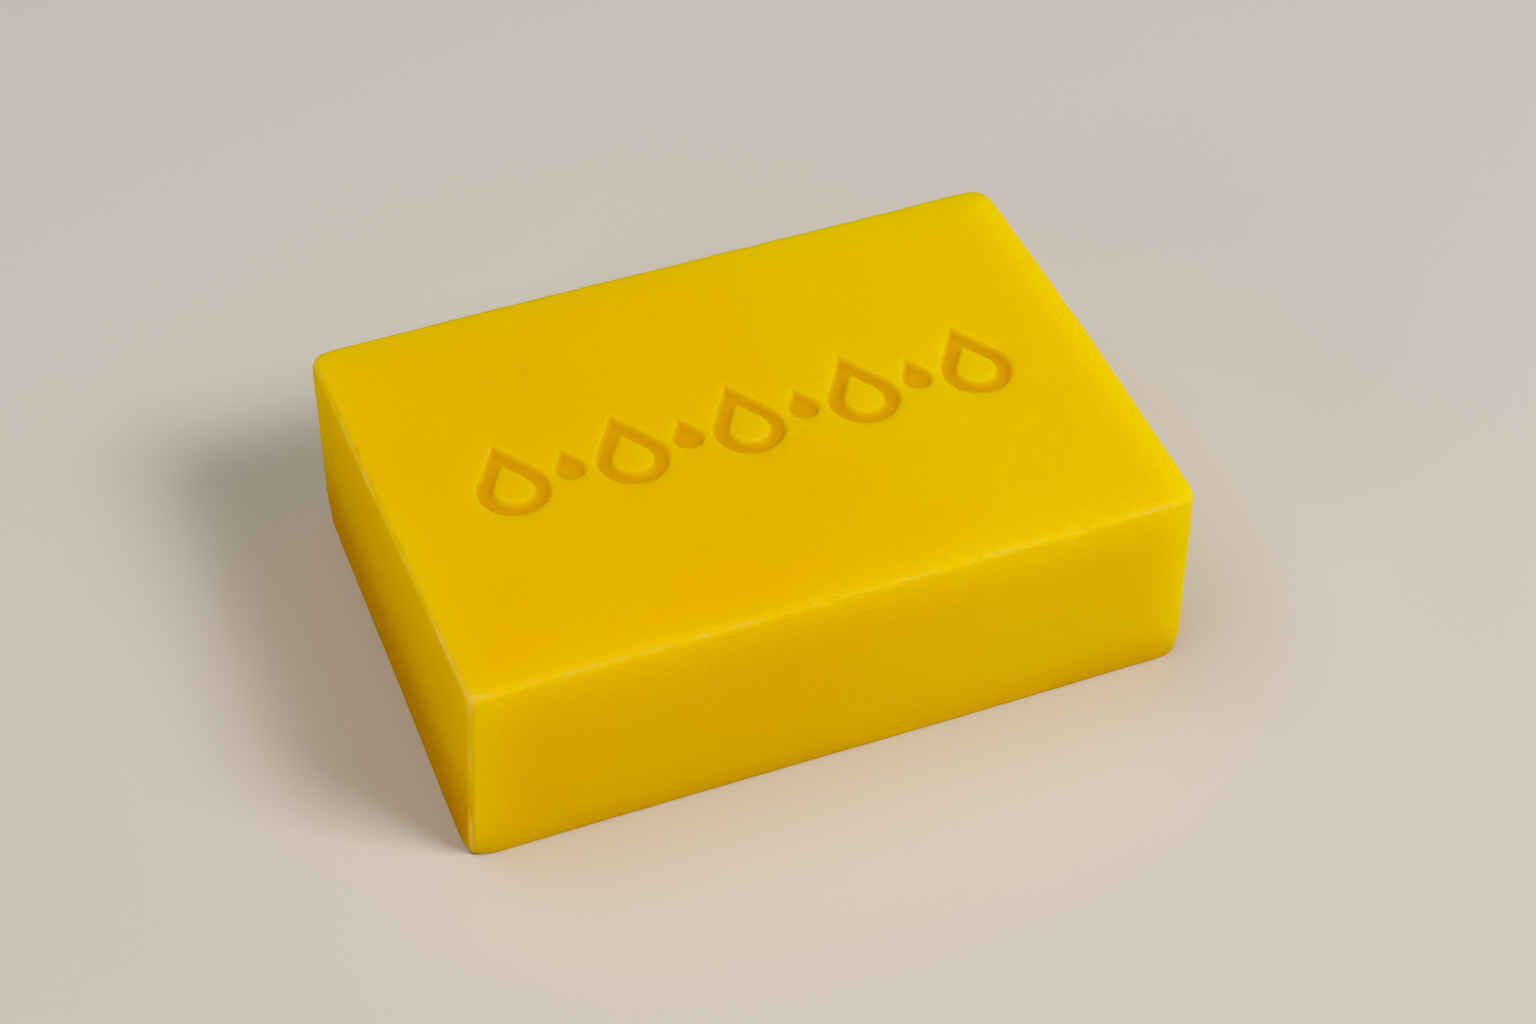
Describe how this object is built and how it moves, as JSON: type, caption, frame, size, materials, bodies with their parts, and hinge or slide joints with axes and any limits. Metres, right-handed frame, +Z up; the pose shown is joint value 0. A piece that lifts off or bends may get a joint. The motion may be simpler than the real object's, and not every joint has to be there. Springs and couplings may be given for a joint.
{
  "type": "detailing clay bar",
  "caption": "Rounded rectangular block of kneadable polymer clay for wiping bonded dirt off lubricated car paint, with water drops pressed into its top face.",
  "frame": {"origin": "middle of the flat underside, where the bar rests", "axes": "+X along the length, +Y across the width towards the back (the side the pressed drops point to), +Z up out of the pressed top face"},
  "size_m": [0.085, 0.059, 0.0255],
  "materials": {
    "clay": "waxy satin, slightly translucent"
  },
  "bodies": {
    "root": {"clay_bar": "clay"}
  },
  "joints": []
}
